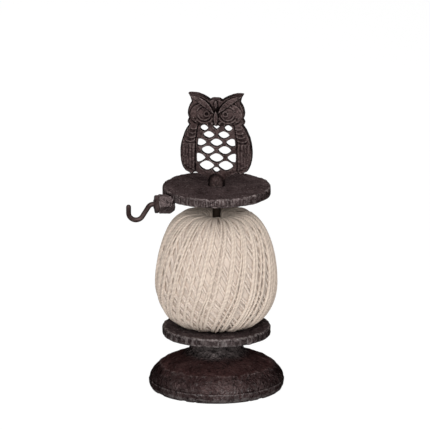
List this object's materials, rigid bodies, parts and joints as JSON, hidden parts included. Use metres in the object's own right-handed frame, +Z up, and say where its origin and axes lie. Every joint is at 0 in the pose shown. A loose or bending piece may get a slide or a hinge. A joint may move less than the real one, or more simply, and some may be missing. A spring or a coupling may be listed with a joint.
{
  "type": "string holder",
  "caption": "Cast iron string holder: a bell foot with a tray and spindle that carry a ball of twine, under a lift-off plate with a string hook and an openwork owl finial.",
  "frame": {"origin": "on the spindle's axis, on the floor under the foot", "axes": "+Z up along the spindle, the owl looks towards -Y, the string hook reaches out towards -X"},
  "size_m": [0.1262, 0.108, 0.2434],
  "materials": {
    "cast_iron": "dark brown, uneven as cast, faintly waxed",
    "dark_steel": "dark brown, oiled",
    "twine": "pale undyed jute twine"
  },
  "bodies": {
    "base": {"foot": "cast_iron", "tray": "cast_iron", "spindle_rod": "dark_steel", "foot_washer": "dark_steel", "foot_nut": "dark_steel"},
    "ball": {"twine_core": "twine", "twine_winding": "twine"},
    "plate": {"top_plate": "cast_iron", "hook_lock_nut": "dark_steel"},
    "hook": {"string_hook": "dark_steel"},
    "owl": {"owl_finial": "cast_iron"}
  },
  "joints": [
    {"name": "ball_spin", "type": "hinge", "parent": "base", "child": "ball", "pos_m": [0, 0, 0.098], "axis": [0, 0, 1], "continuous": true},
    {"name": "plate_lift", "type": "slide", "parent": "base", "child": "plate", "axis": [0, 0, 1], "range_m": [0, 0.0323]},
    {"name": "owl_lift", "type": "slide", "parent": "plate", "child": "owl", "axis": [0, 0, 1], "range_m": [0, 0.0212]},
    {"name": "hook_turn", "type": "hinge", "parent": "plate", "child": "hook", "pos_m": [-0.04629, -0.02258, 0.1575], "axis": [-0.9945, -0.1045, 0], "range_deg": [-90, 0]}
  ]
}
